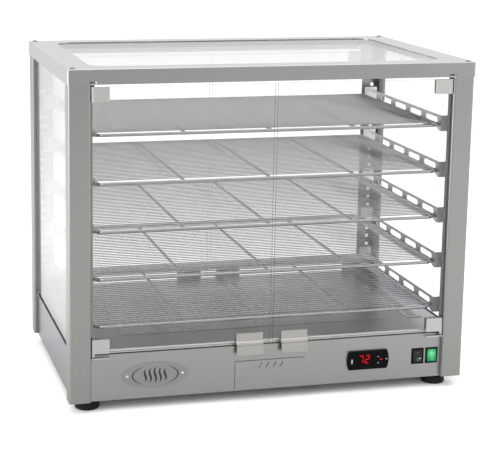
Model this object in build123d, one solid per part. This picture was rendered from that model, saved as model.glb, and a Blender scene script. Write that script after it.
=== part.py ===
from build123d import *
import os

# Food holding cabinet: a glass display case on a heated base, with doors front and rear.
# Millimetres. +X is the right-hand side seen from the front, +Y is the rear, +Z is up.
# The origin is the centre of the footprint on the surface the feet stand on.

# ---- driving dimensions ----
WIDTH = 780.0
DEPTH = 490.0
FOOT_HEIGHT = 21.0
CASE_HEIGHT = 620.0
SHEET = 1.2
FRAME_SHEET = 1.5
GLASS = 4.0
BASE_HEIGHT = 88.5
SHELF_COUNT = 5
SHELF_PITCH = 90.0

# ---- heights, all counted up from the underside of the base ----
BASE = FOOT_HEIGHT
TOP = BASE + CASE_HEIGHT
PLATE_TOP = BASE + SHEET
BAND_BOTTOM = TOP - 27.8
PANEL_TOP = BASE + 91.5
FASCIA_TOP = BASE + BASE_HEIGHT
DECK_TOP = BASE + 96.5
DOOR_BOTTOM = BASE + 95.0
DOOR_TOP = BASE + 587.0
SIDE_GLASS_TOP = BASE + 606.0
FIRST_SHELF = BASE + 135.0
TOP_HOLE = BASE + 515.5

# ---- plan positions, as distances from the centre planes ----
POST_X = 388.0
POST_Y = 243.0
POST_INNER_X = 347.0
POST_INNER_Y = 206.0
LIP_X = 374.0
UPRIGHT_X = 342.0
JAMB_Y = 231.0
PANEL_X = 380.0
DECK_X = 345.0
DECK_Y = 227.0
OPENING_X = 340.0
OPENING_Y = 202.0
OPENING_R = 34.0
FOOT_X = 348.0
FOOT_Y = 200.0
POST_BEND = 3.5
PANEL_Y = 205.6
TOP_PANE = (720.0, 444.0, 5.0)
SCREW_X = 378.0
SCREW_Y = 232.0

# ---- shelf grid and runners ----
SHELF_X = 333.0
SHELF_Y = 209.0
ROD_R = 3.0
WIRE_R = 1.1
WIRE_PITCH = 13.0
WIRE_COUNT = 31
WELD = 0.3
RUNNER_X = 340.0
RUNNER_Y = 205.0
HOLE_X = 365.0
HOLE_R = 4.0
HOLE_PITCH = 18.0
HOLE_COUNT = 22

# ---- doors and hinges ----
DOOR_FRONT = 236.0
DOOR_GAP = 2.5
DOOR_EDGE = 344.0
HINGE_X = 343.0
HINGE_Y = 239.5
BARREL_R = 3.0
PIN_R = 1.5
RUNNING_CLEARANCE = 0.05
CLIP_X = 312.5
CLIP_HEIGHT = 27.2
STUDS = (319.5, 332.0)
STUD_R = 3.0
HANDLE_X = 18.0
HANDLE_WIDTH = 52.0

# ---- controls on the front fascia ----
CONTROL_X = 196.5
CONTROL_Z = BASE + 43.7
SWITCH_X = (300.15, 329.2)
SWITCH_Z = BASE + 43.6
SWITCH_TILT = 7.0
BADGE_X = -224.8
BADGE_Z = BASE + 43.5
BADGE_HALF = (64.0, 25.0)
BADGE_SHEET = 1.5
RIVET_SPACING = 106.0
GLAND_X = -300.0
GLAND_Z = BASE + 30.0
GLAND_BORE = 4.0
GLAND_THREAD = 8.0
VENT_X = (309.0, 341.0)
VENT_Y = 150.5

FACE_Y = JAMB_Y + SHEET  # outer face of the fascia and of the rear panel


def block(x, y, z):
    """A box from three (low, high) pairs."""
    centre = [(low + high) / 2 for low, high in (x, y, z)]
    return Pos(*centre) * Box(*(high - low for low, high in (x, y, z)))


def rod_z(x, y, z, radius):
    """An upright cylinder between two heights."""
    return Pos(x, y, (z[0] + z[1]) / 2) * Cylinder(radius, z[1] - z[0])


def rod_y(x, y, z, radius):
    """A front-to-back cylinder between two depths."""
    return Pos(x, (y[0] + y[1]) / 2, z) * Rot(90, 0, 0) * Cylinder(radius, y[1] - y[0])


def rod_x(x, y, z, radius):
    """A left-to-right cylinder between two widths."""
    return Pos((x[0] + x[1]) / 2, y, z) * Rot(0, 90, 0) * Cylinder(radius, x[1] - x[0])


def flip_x(shape):
    return mirror(shape, about=Plane.YZ)


def flip_y(shape):
    return mirror(shape, about=Plane.XZ)


def four_corners(shape):
    """The front-right shape and its three mirror images."""
    right = [shape, flip_y(shape)]
    return right + [flip_x(piece) for piece in right]


def bent_sheet(points, radius, sheet=SHEET):
    """The section of a bent sheet whose middle line goes through the points."""
    line = FilletPolyline(*points, radius=radius)
    return trace(line, line_width=sheet)


def cut(body, tools):
    for tool in tools:
        body = body - tool
    return body


def save(name, shape):
    """Writes one node, which is one solid or a group of separate solids."""
    solids = []
    for piece in shape if isinstance(shape, list) else [shape]:
        solids.extend(piece.solids())
    whole = solids[0] if len(solids) == 1 else Compound(children=solids)
    export_step(whole, f"parts/{name}.step")


# ---------------------------------------------------------------- top
def top_frame():
    """The deep-edged top sheet with its rounded window and a notch for each hinge bracket."""
    corner_r, edge_r = 6.0, 2.0
    outer = block((-WIDTH / 2, WIDTH / 2), (-DEPTH / 2, DEPTH / 2), (BAND_BOTTOM, TOP))
    outer = fillet(outer.edges().filter_by(Axis.Z), corner_r)
    outer = fillet(outer.faces().sort_by(Axis.Z)[-1].edges(), edge_r)
    half_x, half_y = WIDTH / 2 - FRAME_SHEET, DEPTH / 2 - FRAME_SHEET
    inner = block((-half_x, half_x), (-half_y, half_y), (BAND_BOTTOM - 1, TOP - FRAME_SHEET))
    inner = fillet(inner.edges().filter_by(Axis.Z), corner_r - FRAME_SHEET)
    window = RectangleRounded(2 * OPENING_X, 2 * OPENING_Y, OPENING_R)
    window = Pos(0, 0, TOP - 5) * extrude(window, 10)
    notch = block((336.5, 349.7), (-DEPTH / 2 - 1, -half_y + 0.4), (BAND_BOTTOM - 1, BAND_BOTTOM + 5.5))
    return cut(outer, [inner, window] + four_corners(notch))


def top_glass():
    width, depth, thick = TOP_PANE
    pane = RectangleRounded(width, depth, 8)
    return Pos(0, 0, TOP - FRAME_SHEET - thick) * extrude(pane, thick)


def glass_retainers():
    """A ledge strip under the front and rear edges of the top pane, fixed to the band."""
    under = TOP - FRAME_SHEET - TOP_PANE[2]
    half_length = 325.0
    inner_edge = TOP_PANE[1] / 2 - 10
    front = block(
        (-half_length, half_length), (-DEPTH / 2 + FRAME_SHEET, -inner_edge), (under - FRAME_SHEET, under)
    )
    return [front, flip_y(front)]


def top_screws():
    """Low dome screws that hold the top sheet to the posts."""
    dome_r, dome_h = 6.2, 2.4
    ball_r = (dome_r**2 + dome_h**2) / (2 * dome_h)
    dome = Pos(SCREW_X, -SCREW_Y, TOP + dome_h - ball_r) * Sphere(ball_r)
    keep = Pos(SCREW_X, -SCREW_Y, TOP + 5) * Box(30, 30, 10)
    return four_corners(dome & keep)


# ---------------------------------------------------------------- posts
def post(front):
    """A corner post of bent sheet: the front pair has a broad face, the rear pair is open behind."""
    middle = SHEET / 2
    outer_x, outer_y = POST_X - middle, -POST_Y + middle
    side_lip = [(outer_x, -POST_INNER_Y - middle), (LIP_X, -POST_INNER_Y - middle)]
    if front:
        points = [(POST_INNER_X + middle, -JAMB_Y), (POST_INNER_X + middle, outer_y), (outer_x, outer_y)]
    else:
        points = [(LIP_X, outer_y), (outer_x, outer_y)]
    section = bent_sheet(points + side_lip, POST_BEND)
    return Pos(0, 0, PLATE_TOP) * extrude(section, TOP - FRAME_SHEET - PLATE_TOP)


def shelf_uprights():
    """The perforated strip inside each post, which the runners hook into."""
    strip = block((UPRIGHT_X, POST_X - SHEET), (-JAMB_Y, -JAMB_Y + SHEET), (PLATE_TOP, BASE + 611))
    holes = [
        rod_y(HOLE_X, (-JAMB_Y - 1, -JAMB_Y + 3), TOP_HOLE - HOLE_PITCH * row, HOLE_R)
        for row in range(HOLE_COUNT)
    ]
    return four_corners(strip - holes)


# ---------------------------------------------------------------- sides
def side_glass():
    return block((PANEL_X - GLASS, PANEL_X), (-RUNNER_Y, RUNNER_Y), (PANEL_TOP, SIDE_GLASS_TOP))


def side_panel():
    """The lower side sheet with its inward ledge, which carries the side glass and the deck."""
    wall = block((PANEL_X - SHEET, PANEL_X), (-PANEL_Y, PANEL_Y), (BASE, PANEL_TOP))
    ledge = block((OPENING_X, PANEL_X), (-PANEL_Y, PANEL_Y), (PANEL_TOP - SHEET, PANEL_TOP))
    panel = wall + ledge
    bend = panel.edges().filter_by(Axis.Y).group_by(Axis.Z)[-1].sort_by(Axis.X)[-1]
    return fillet(bend, 0.8)


def side_glass_clips():
    """Small plates with a dome screw that lock the side glass at its corners."""
    clips = []
    for low in (PANEL_TOP - 7.5, SIDE_GLASS_TOP - 15):
        plate = block((PANEL_X, PANEL_X + SHEET), (-199, -187), (low, low + 15))
        head = rod_x((PANEL_X + SHEET, PANEL_X + SHEET + 1.6), -193, low + 3.4, 2.6)
        head = chamfer(head.edges().sort_by(Axis.X)[-1], 0.7)
        clips.extend(four_corners(plate + head))
    return clips


# ---------------------------------------------------------------- base
def face_sheet():
    """A front or rear base sheet with its top flange turned inwards."""
    wall = block((-346.6, 346.6), (-FACE_Y, -JAMB_Y), (BASE, FASCIA_TOP))
    flange = block((-340, 340), (-FACE_Y, -219), (FASCIA_TOP - SHEET, FASCIA_TOP))
    sheet = wall + flange
    bend = sheet.edges().filter_by(Axis.X).group_by(Axis.Z)[-1].sort_by(Axis.Y)[0]
    return fillet(bend, 0.9)


def front_fascia():
    through = (-FACE_Y - 1, -JAMB_Y + 1)
    openings = [
        block((-62, 62), through, (BASE + 8, BASE + 54)),
        block((CONTROL_X - 35.5, CONTROL_X + 35.5), through, (CONTROL_Z - 14.5, CONTROL_Z + 14.5)),
    ]
    for x in SWITCH_X:
        openings.append(block((x - 11, x + 11), through, (SWITCH_Z - 14.1, SWITCH_Z + 14.1)))
    return cut(face_sheet(), openings)


def rear_panel():
    """The rear base sheet with louvre slots and the hole of the cable gland."""
    through = (JAMB_Y - 1, FACE_Y + 1)
    openings = [rod_y(GLAND_X, through, GLAND_Z, GLAND_THREAD)]
    for column in range(2):
        for row in range(5):
            z = BASE + 22 + 11 * row
            x = 170 + 90 * column
            openings.append(block((x - 32, x + 32), through, (z - 2, z + 2)))
    return cut(flip_y(face_sheet()), openings)


def bottom_plate():
    half_x = PANEL_X - SHEET
    return block((-half_x, half_x), (-JAMB_Y, JAMB_Y), (BASE, PLATE_TOP))


def deck():
    """The cavity floor: a shallow tray turned upside down with a rolled front and rear nose."""
    sheet = 1.5
    outer = block((-DECK_X, DECK_X), (-DECK_Y, DECK_Y), (BASE + 89.5, DECK_TOP))
    nose = outer.faces().sort_by(Axis.Z)[-1].edges().filter_by(Axis.X)
    outer = fillet(nose, 3.5)
    inner = block(
        (-DECK_X + sheet, DECK_X - sheet), (-DECK_Y + sheet, DECK_Y - sheet), (BASE, DECK_TOP - sheet)
    )
    inner = fillet(inner.faces().sort_by(Axis.Z)[-1].edges().filter_by(Axis.X), 2.0)
    side_relief = block((DECK_X - 2, DECK_X + 1), (-DECK_Y - 1, DECK_Y + 1), (BASE, PANEL_TOP))
    vent = block((VENT_X[0] + 5, VENT_X[1] - 5), (-VENT_Y + 4.5, VENT_Y - 4.5), (DECK_TOP - 5, DECK_TOP + 5))
    return cut(outer, [inner, side_relief, flip_x(side_relief), vent])


def deck_cover():
    """The thin loose plate over the middle of the deck."""
    return Pos(0, 0, DECK_TOP) * extrude(RectangleRounded(534, 296, 12), 1.0)


def deck_vent():
    """The slotted air inlet along the right-hand side of the deck."""
    plate = block(VENT_X, (-VENT_Y, VENT_Y), (DECK_TOP, DECK_TOP + 1.0))
    across = (VENT_X[0] + 6, VENT_X[1] - 6)
    slots = [block(across, (y - 1.6, y + 1.6), (DECK_TOP - 1, DECK_TOP + 2)) for y in range(-140, 141, 8)]
    return plate - slots


def foot():
    """A rubber foot: a squat puck with a rounded rim and a narrower neck."""
    rim_r, neck_r = 23.0, 18.0
    outline = Polyline((0, 0), (rim_r - 3, 0))
    outline += RadiusArc((rim_r - 3, 0), (rim_r, 3), -3)
    outline += Line((rim_r, 3), (rim_r, 11))
    outline += RadiusArc((rim_r, 11), (rim_r - 5, 16), -5)
    outline += Polyline((rim_r - 5, 16), (neck_r, FOOT_HEIGHT), (0, FOOT_HEIGHT), (0, 0))
    return Pos(FOOT_X, -FOOT_Y, 0) * revolve(make_face(Plane.XZ * outline), Axis.Z)


# ---------------------------------------------------------------- controls
def badge_plate():
    plate = extrude(Plane.XZ * Pos(BADGE_X, BADGE_Z) * Ellipse(*BADGE_HALF), BADGE_SHEET)
    return plate.moved(Location((0, -FACE_Y, 0)))


def badge_rivets():
    seat = -FACE_Y - BADGE_SHEET
    return [
        chamfer(rod_y(x, (seat - 1.3, seat), BADGE_Z, 2.6).edges().sort_by(Axis.Y)[0], 0.7)
        for x in (BADGE_X - RIVET_SPACING / 2, BADGE_X + RIVET_SPACING / 2)
    ]


BEZEL_DEPTH = 5.0
BEZEL_FRONT = -FACE_Y - BEZEL_DEPTH
DISPLAY_X = (CONTROL_X - 20.5, CONTROL_X + 8.5)
DISPLAY_Z = (CONTROL_Z - 8.7, CONTROL_Z + 12.7)
BUTTONS = {
    "button_up": (CONTROL_X + 19.8, CONTROL_Z + 6.5),
    "button_set": (CONTROL_X + 25.8, CONTROL_Z + 0.4),
    "button_down": (CONTROL_X + 20.0, CONTROL_Z - 6.4),
}


def controller_body():
    """The panel controller: a bezel with bowed ends in front of a plain box."""
    corner_x, bow_x, half_z = 38.5, 42.5, 18.75
    outline = Line((-corner_x, half_z), (corner_x, half_z))
    outline += ThreePointArc((corner_x, half_z), (bow_x, 0), (corner_x, -half_z))
    outline += Line((corner_x, -half_z), (-corner_x, -half_z))
    outline += ThreePointArc((-corner_x, -half_z), (-bow_x, 0), (-corner_x, half_z))
    bezel = extrude(Plane.XZ * Pos(CONTROL_X, CONTROL_Z) * make_face(outline), BEZEL_DEPTH)
    bezel = bezel.moved(Location((0, -FACE_Y, 0)))
    bezel = fillet(bezel.faces().sort_by(Axis.Y)[0].edges(), 1.6)
    box = block(
        (CONTROL_X - 35.5, CONTROL_X + 35.5), (-FACE_Y, -168), (CONTROL_Z - 14.5, CONTROL_Z + 14.5)
    )
    window = block(DISPLAY_X, (BEZEL_FRONT - 1, BEZEL_FRONT + 1.2), DISPLAY_Z)
    bores = [
        rod_y(x, (BEZEL_FRONT - 1, BEZEL_FRONT + 4.2), z, 3.0 if name != "button_set" else 2.6)
        for name, (x, z) in BUTTONS.items()
    ]
    return cut(bezel + box, [window] + bores)


def controller_display():
    return block(DISPLAY_X, (BEZEL_FRONT + 0.3, BEZEL_FRONT + 1.2), DISPLAY_Z)


def button(name):
    x, z = BUTTONS[name]
    radius = 2.7 if name != "button_set" else 2.3
    cap = rod_y(x, (BEZEL_FRONT - 0.8, BEZEL_FRONT + 3.0), z, radius)
    return fillet(cap.edges().sort_by(Axis.Y)[0], 0.5)


def switch_housing(x):
    """A rocker switch's frame and case, with the holes that its rocker pivots in."""
    frame = block((x - 12.5, x + 12.5), (-FACE_Y - 2.0, -FACE_Y), (SWITCH_Z - 15.7, SWITCH_Z + 15.7))
    frame = fillet(frame.faces().sort_by(Axis.Y)[0].edges(), 0.8)
    case = block((x - 11, x + 11), (-FACE_Y, -207), (SWITCH_Z - 14.1, SWITCH_Z + 14.1))
    well = block((x - 9.6, x + 9.6), (-FACE_Y - 3, -222), (SWITCH_Z - 12.9, SWITCH_Z + 12.9))
    tabs = []
    for side in (x - 6, x + 6):
        tabs.append(block((side - 0.4, side + 0.4), (-207, -200), (SWITCH_Z - 3, SWITCH_Z + 3)))
    body = frame + case + tabs - well
    return body - rod_x((x - 10.6, x + 10.6), -FACE_Y, SWITCH_Z, 1.2 + RUNNING_CLEARANCE)


def rocker(x):
    """A rocker with a shallow V face, tilted top edge in."""
    face = Polyline((-3.4, 12), (-2.0, 0), (-3.4, -12), (2.2, -12), (5.0, 0), (2.2, 12), (-3.4, 12))
    body = extrude(Plane.YZ * make_face(face), 9.2, both=True)
    front = body.faces().filter_by(Axis.X, reverse=True).sort_by(Axis.Y)[:2]
    body = fillet(front[0].edges().filter_by(Axis.X) & front[1].edges().filter_by(Axis.X), 6.0)
    body = body + Rot(0, 90, 0) * Cylinder(1.2, 20.8)
    return Pos(x, -FACE_Y, SWITCH_Z) * Rot(-SWITCH_TILT, 0, 0) * body


# ---------------------------------------------------------------- runners and shelves
def shelf_runner(height):
    """A side runner: slotted web, inward ledge, flared ends, and hooks into the uprights."""
    flare_y, tab_low, web_low, web_top = 172.0, -12.5, -4.2, 18.0
    outline = Line((-flare_y, web_low), (flare_y, web_low))
    outline += Bezier((flare_y, web_low), (187, web_low), (190, tab_low), (RUNNER_Y, tab_low))
    outline += Polyline((RUNNER_Y, tab_low), (RUNNER_Y, web_top), (-RUNNER_Y, web_top), (-RUNNER_Y, tab_low))
    outline += Bezier((-RUNNER_Y, tab_low), (-190, tab_low), (-187, web_low), (-flare_y, web_low))
    web = make_face(outline)
    for place in range(-2, 3):
        web -= Pos(80 * place, 7) * SlotOverall(57, 11)
    body = extrude(Plane.YZ * web, SHEET).moved(Location((RUNNER_X, 0, 0)))
    body += block((322, RUNNER_X + SHEET), (-200, 200), (web_low, web_low + SHEET))
    ends = block((RUNNER_X, 367.2), (-RUNNER_Y, -RUNNER_Y + SHEET), (tab_low, web_top))
    ends += block((366, 367.2), (-JAMB_Y + SHEET, -RUNNER_Y), (tab_low, web_top))
    ends += block((366, 367.2), (-JAMB_Y - 2.0, -JAMB_Y + SHEET), (-0.4, 5.4))
    ends += block((366, 367.2), (-JAMB_Y - 2.0, -JAMB_Y - 0.3), (-6, 5.4))
    body = body + ends + flip_y(ends)
    return Pos(0, 0, height) * body


def wire_shelf():
    """A welded wire shelf about its own rim level: rim rod, cross rods and close wires on top."""
    corner_r = 14.0
    rim = RectangleRounded(2 * SHELF_X, 2 * SHELF_Y, corner_r).wire()
    section = Plane(origin=(0, -SHELF_Y, 0), x_dir=(0, 1, 0), z_dir=(1, 0, 0)) * Circle(ROD_R)
    grid = sweep(section, path=rim)
    wire_z = ROD_R + WIRE_R - WELD
    cross_r = 2.5
    cross_z = wire_z - WIRE_R - cross_r + WELD
    pieces = [rod_y(x, (-SHELF_Y, SHELF_Y), cross_z, cross_r) for x in (-166.0, 0.0, 166.0)]
    for place in range(WIRE_COUNT):
        y = WIRE_PITCH * (place - (WIRE_COUNT - 1) / 2)
        pieces.append(rod_x((-SHELF_X - 2, SHELF_X + 2), y, wire_z, WIRE_R))
    return grid.fuse(*pieces)


# ---------------------------------------------------------------- doors
CLIP_LEVELS = {"upper": DOOR_TOP + 0.4 - CLIP_HEIGHT, "lower": DOOR_BOTTOM - 1.2}


def clip_screws(low):
    """The two studs of a hinge clip, which pass through the door glass."""
    return [
        rod_y(x, (-DOOR_FRONT, -DOOR_FRONT + GLASS), low + CLIP_HEIGHT / 2, STUD_R) for x in STUDS
    ]


def door_glass():
    """The front right door pane, with its clip holes."""
    pane = block((DOOR_GAP, DOOR_EDGE), (-DOOR_FRONT, -DOOR_FRONT + GLASS), (DOOR_BOTTOM, DOOR_TOP))
    return cut(pane, [stud for low in CLIP_LEVELS.values() for stud in clip_screws(low)])


def hinge_clip(level):
    """A clip that grips the glass and carries the hinge barrel at its edge."""
    low = CLIP_LEVELS[level]
    high = low + CLIP_HEIGHT
    if level == "upper":
        barrel, bore = (low, BASE + 588.2), (BASE + 566, BASE + 590)
    else:
        barrel, bore = (BASE + 88.3, high), (BASE + 85, BASE + 110)
    body = block((CLIP_X, HINGE_X), (-HINGE_Y - 2.0, -DOOR_FRONT), (low, high))
    corners = body.edges().filter_by(Axis.Z).group_by(Axis.Y)[0].sort_by(Axis.X)[0]
    body = fillet(corners, 1.0)
    body += rod_z(HINGE_X, -HINGE_Y, barrel, BARREL_R)
    rear = -DOOR_FRONT + GLASS
    body += block((CLIP_X, HINGE_X - 4), (rear, rear + 1.5), (low + 0.8, high - 0.8))
    for stud in clip_screws(low):
        body += stud
    return body - rod_z(HINGE_X, -HINGE_Y, bore, PIN_R + RUNNING_CLEARANCE)


def door_handle():
    """A finger pull that clamps the bottom edge of the glass, with a lip hanging in front."""
    front = -DOOR_FRONT
    rear = front + GLASS
    lip = -HINGE_Y - 4.5
    outline = Polyline((front, BASE + 114.5), (front - 2, BASE + 114.5), (front - 2, BASE + 101))
    outline += RadiusArc((front - 2, BASE + 101), (front - 7, BASE + 96), 5)
    outline += Polyline(
        (front - 7, BASE + 96),
        (lip, BASE + 95.4),
        (lip, BASE + 93.5),
        (lip + 1.1, BASE + 93.2),
        (lip + 1.1, BASE + 91.6),
        (lip, BASE + 91.2),
        (lip, BASE + 72.2),
        (lip + 0.7, BASE + 71.5),
        (lip + 1.8, BASE + 71.5),
        (lip + 1.8, BASE + 91.2),
        (rear + 1.5, BASE + 91.2),
        (rear + 1.5, BASE + 110),
        (rear, BASE + 110),
        (rear, DOOR_BOTTOM),
        (front, DOOR_BOTTOM),
        (front, BASE + 114.5),
    )
    bar = extrude(Plane.YZ * make_face(outline), HANDLE_WIDTH)
    return bar.moved(Location((HANDLE_X, 0, 0)))


def hinge_brackets():
    """The plates on the case that hold the hinge pins, above and below each door."""
    low = BASE + 591.8
    upper = block((336.8, POST_INNER_X), (-244.7, -JAMB_Y), (low, low + 2.5))
    upper += block((336.8, 349.4), (-244.7, -POST_Y), (low, low + 2.5))
    upper += block((336.8, POST_INNER_X), (-JAMB_Y - 1.5, -JAMB_Y), (low + 2.5, low + 14))
    lower = block((312, POST_INNER_X), (-243, -FACE_Y), (BASE + 83.5, BASE + 86))
    lower = fillet(lower.edges().filter_by(Axis.Z).group_by(Axis.Y)[0], 1.5)
    bore = rod_z(HINGE_X, -HINGE_Y, (BASE, TOP), PIN_R)
    return four_corners(upper - bore) + four_corners(lower - bore)


def hinge_pins():
    upper = rod_z(HINGE_X, -HINGE_Y, (BASE + 570, BASE + 594.3), PIN_R)
    upper += rod_z(HINGE_X, -HINGE_Y, (BASE + 594.3, BASE + 596), 2.8)
    lower = rod_z(HINGE_X, -HINGE_Y, (BASE + 83.5, BASE + 106), PIN_R)
    lower += rod_z(HINGE_X, -HINGE_Y, (BASE + 82, BASE + 83.5), 2.8)
    return four_corners(upper) + four_corners(lower)


def hinge_bushes():
    """Plastic washers between the brackets and the hinge barrels."""
    bore = rod_z(HINGE_X, -HINGE_Y, (BASE, TOP), PIN_R)
    upper = rod_z(HINGE_X, -HINGE_Y, (BASE + 588.5, BASE + 591.8), BARREL_R)
    lower = rod_z(HINGE_X, -HINGE_Y, (BASE + 86, BASE + 88), BARREL_R)
    return four_corners(upper - bore) + four_corners(lower - bore)


# ---------------------------------------------------------------- water drawer
TRAY_X = 60.0
TRAY_Y = (-FACE_Y - 0.3, 68.0)
TRAY_Z = (BASE + 9.5, BASE + 50.0)


def drawer_front():
    """The drawer's face plate, with four hooked steam slots cut through it."""
    plate = block((-70, 70), (-FACE_Y - 1.8, -FACE_Y - 0.3), (BASE + 1.5, BASE + 58))
    plate = fillet(plate.edges().filter_by(Axis.Y), 2.0)
    slots = []
    for x in (-21, -7, 7, 21):
        wave = Line((x + 2.2, BASE + 53.5), (x + 2.2, BASE + 50.5))
        wave += RadiusArc((x + 2.2, BASE + 50.5), (x, BASE + 47.5), 4.2)
        wave += RadiusArc((x, BASE + 47.5), (x - 2.2, BASE + 44.0), -4.2)
        wave += Line((x - 2.2, BASE + 44.0), (x - 2.2, BASE + 41.5))
        slot = extrude(Plane.XZ * trace(wave, line_width=1.6), 4)
        slots.append(slot.moved(Location((0, -FACE_Y + 1, 0))))
    return cut(plate, slots)


def drawer_tray():
    """The open water pan behind the drawer's face."""
    wall = 1.2
    outer = block((-TRAY_X, TRAY_X), TRAY_Y, TRAY_Z)
    outer = fillet(outer.edges().filter_by(Axis.Y).group_by(Axis.Z)[0], 4)
    inner = block(
        (-TRAY_X + wall, TRAY_X - wall),
        (TRAY_Y[0] + wall, TRAY_Y[1] - wall),
        (TRAY_Z[0] + wall, TRAY_Z[1] + 1),
    )
    inner = fillet(inner.edges().filter_by(Axis.Y).group_by(Axis.Z)[0], 3)
    return outer - inner


def drawer_guides():
    """Angle rails that the pan slides on, with a stop behind it."""
    rail = block((60.6, 61.8), (-JAMB_Y, 71), (PLATE_TOP, BASE + 30))
    rail += block((48, 60.6), (-JAMB_Y, 71), (BASE + 7.9, BASE + 9.1))
    rail += block((48, 60.6), (69.8, 71), (BASE + 9.1, BASE + 26))
    return [rail, flip_x(rail)]


# ---------------------------------------------------------------- inside the base
HEATER_R = 4.0
HEATER_Z = BASE + 74.0
HEATER_ROWS = (-120.0, -60.0, 0.0, 60.0, 120.0)
FAN_X = 300.0


def heating_element():
    """A tubular heater bent into a serpentine under the deck."""
    half_run = 235.0
    points = []
    for row, y in enumerate(HEATER_ROWS):
        start = -half_run if row % 2 == 0 else half_run
        points.extend([(start, y), (-start, y)])
    path = FilletPolyline(*points, radius=22)
    section = Plane(origin=(-half_run, HEATER_ROWS[0], 0), z_dir=(1, 0, 0)) * Circle(HEATER_R)
    return Pos(0, 0, HEATER_Z) * sweep(section, path=path)


def heater_brackets():
    """Hangers under the deck with clearance holes for the heater tube."""
    hangers = []
    for x in (-130.0, 130.0):
        plate = block((x - 1, x + 1), (-132, 132), (HEATER_Z - 9, DECK_TOP - 1.5))
        holes = [rod_x((x - 3, x + 3), y, HEATER_Z, HEATER_R + 0.3) for y in HEATER_ROWS]
        hangers.append(plate - holes)
    return hangers


def fan_motor():
    """The circulation fan's motor can, mounting foot and shaft."""
    foot_plate = block((FAN_X - 30, FAN_X + 30), (-30, 30), (PLATE_TOP, PLATE_TOP + 2))
    can = rod_z(FAN_X, 0, (PLATE_TOP + 2, BASE + 42), 24)
    can = fillet(can.edges().sort_by(Axis.Z)[-1], 3)
    shaft = rod_z(FAN_X, 0, (BASE + 42, BASE + 76), 3)
    return foot_plate + can + shaft


def fan_impeller():
    """A radial impeller: back plate, hub and blades, running on the motor shaft."""
    wheel = rod_z(FAN_X, 0, (BASE + 45, BASE + 46.5), 34)
    wheel += rod_z(FAN_X, 0, (BASE + 46.5, BASE + 72), 8)
    for blade in range(9):
        vane = Pos(21, 0, BASE + 58) * Rot(0, 0, 25) * Box(24, 1.6, 23.4)
        wheel += Pos(FAN_X, 0, 0) * Rot(0, 0, 40 * blade) * vane
    return wheel - rod_z(FAN_X, 0, (BASE, TOP), 3 + RUNNING_CLEARANCE)


def cable_gland():
    """The supply cable's gland in the rear panel: locknut inside, hexagon and dome outside."""
    hexagon_depth, nut_depth, outer_end = 5.0, 4.0, FACE_Y + 12.5
    spanner_face = Plane.XZ * Pos(GLAND_X, GLAND_Z) * RegularPolygon(12, 6)
    body = rod_y(GLAND_X, (JAMB_Y - 8, outer_end), GLAND_Z, GLAND_THREAD)
    body += extrude(spanner_face, hexagon_depth).moved(Location((0, FACE_Y + hexagon_depth, 0)))
    body += extrude(spanner_face, nut_depth).moved(Location((0, JAMB_Y, 0)))
    dome = rod_y(GLAND_X, (FACE_Y + hexagon_depth, outer_end), GLAND_Z, 10.5)
    body += fillet(dome.edges().sort_by(Axis.Y)[-1], 3)
    return body - rod_y(GLAND_X, (JAMB_Y - 20, FACE_Y + 30), GLAND_Z, GLAND_BORE)


def write_cabinet():
    save("top_frame", top_frame())
    save("top_glass", top_glass())
    save("glass_retainers", glass_retainers())
    save("top_screws", top_screws())
    front_post, rear_post = post(True), flip_y(post(False))
    save("post_front_right", front_post)
    save("post_front_left", flip_x(front_post))
    save("post_rear_right", rear_post)
    save("post_rear_left", flip_x(rear_post))
    save("shelf_uprights", shelf_uprights())
    for name, shape in (("side_glass", side_glass()), ("side_panel", side_panel())):
        save(f"{name}_right", shape)
        save(f"{name}_left", flip_x(shape))
    save("side_glass_clips", side_glass_clips())


def write_base():
    save("front_fascia", front_fascia())
    save("rear_panel", rear_panel())
    save("bottom_plate", bottom_plate())
    save("deck", deck())
    save("deck_cover", deck_cover())
    save("deck_vent", deck_vent())
    save("feet", four_corners(foot()))
    save("badge_plate", badge_plate())
    save("badge_rivets", badge_rivets())
    save("heating_element", heating_element())
    save("heater_brackets", heater_brackets())
    save("fan_motor", fan_motor())
    save("fan_impeller", fan_impeller())
    save("cable_gland", cable_gland())
    save("drawer_guides", drawer_guides())
    save("drawer_front", drawer_front())
    save("drawer_tray", drawer_tray())


def write_controls():
    save("controller_body", controller_body())
    save("controller_display", controller_display())
    for name in BUTTONS:
        save(name, button(name))
    save("switch_housings", [switch_housing(x) for x in SWITCH_X])
    save("rocker_power", rocker(SWITCH_X[0]))
    save("rocker_heat", rocker(SWITCH_X[1]))


def write_shelves():
    levels = [FIRST_SHELF + SHELF_PITCH * place for place in range(SHELF_COUNT)]
    right = [shelf_runner(height) for height in levels]
    save("shelf_runners", right + [flip_x(runner) for runner in right])
    grid = wire_shelf()
    for place, height in enumerate(levels, start=1):
        save(f"shelf_{place}", Pos(0, 0, height) * grid)


def write_doors():
    sides = {
        "front_right": lambda shape: shape,
        "front_left": flip_x,
        "rear_right": flip_y,
        "rear_left": lambda shape: flip_x(flip_y(shape)),
    }
    clips = [hinge_clip(level) for level in CLIP_LEVELS]
    for side, place in sides.items():
        save(f"door_glass_{side}", place(door_glass()))
        save(f"hinge_clips_{side}", [place(clip) for clip in clips])
        save(f"handle_{side}", place(door_handle()))
    save("hinge_brackets", hinge_brackets())
    save("hinge_pins", hinge_pins())
    save("hinge_bushes", hinge_bushes())


os.makedirs("parts", exist_ok=True)
write_cabinet()
write_base()
write_controls()
write_shelves()
write_doors()
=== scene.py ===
import math

import bmesh
import bpy
from mathutils import Euler, Matrix, Vector


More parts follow.
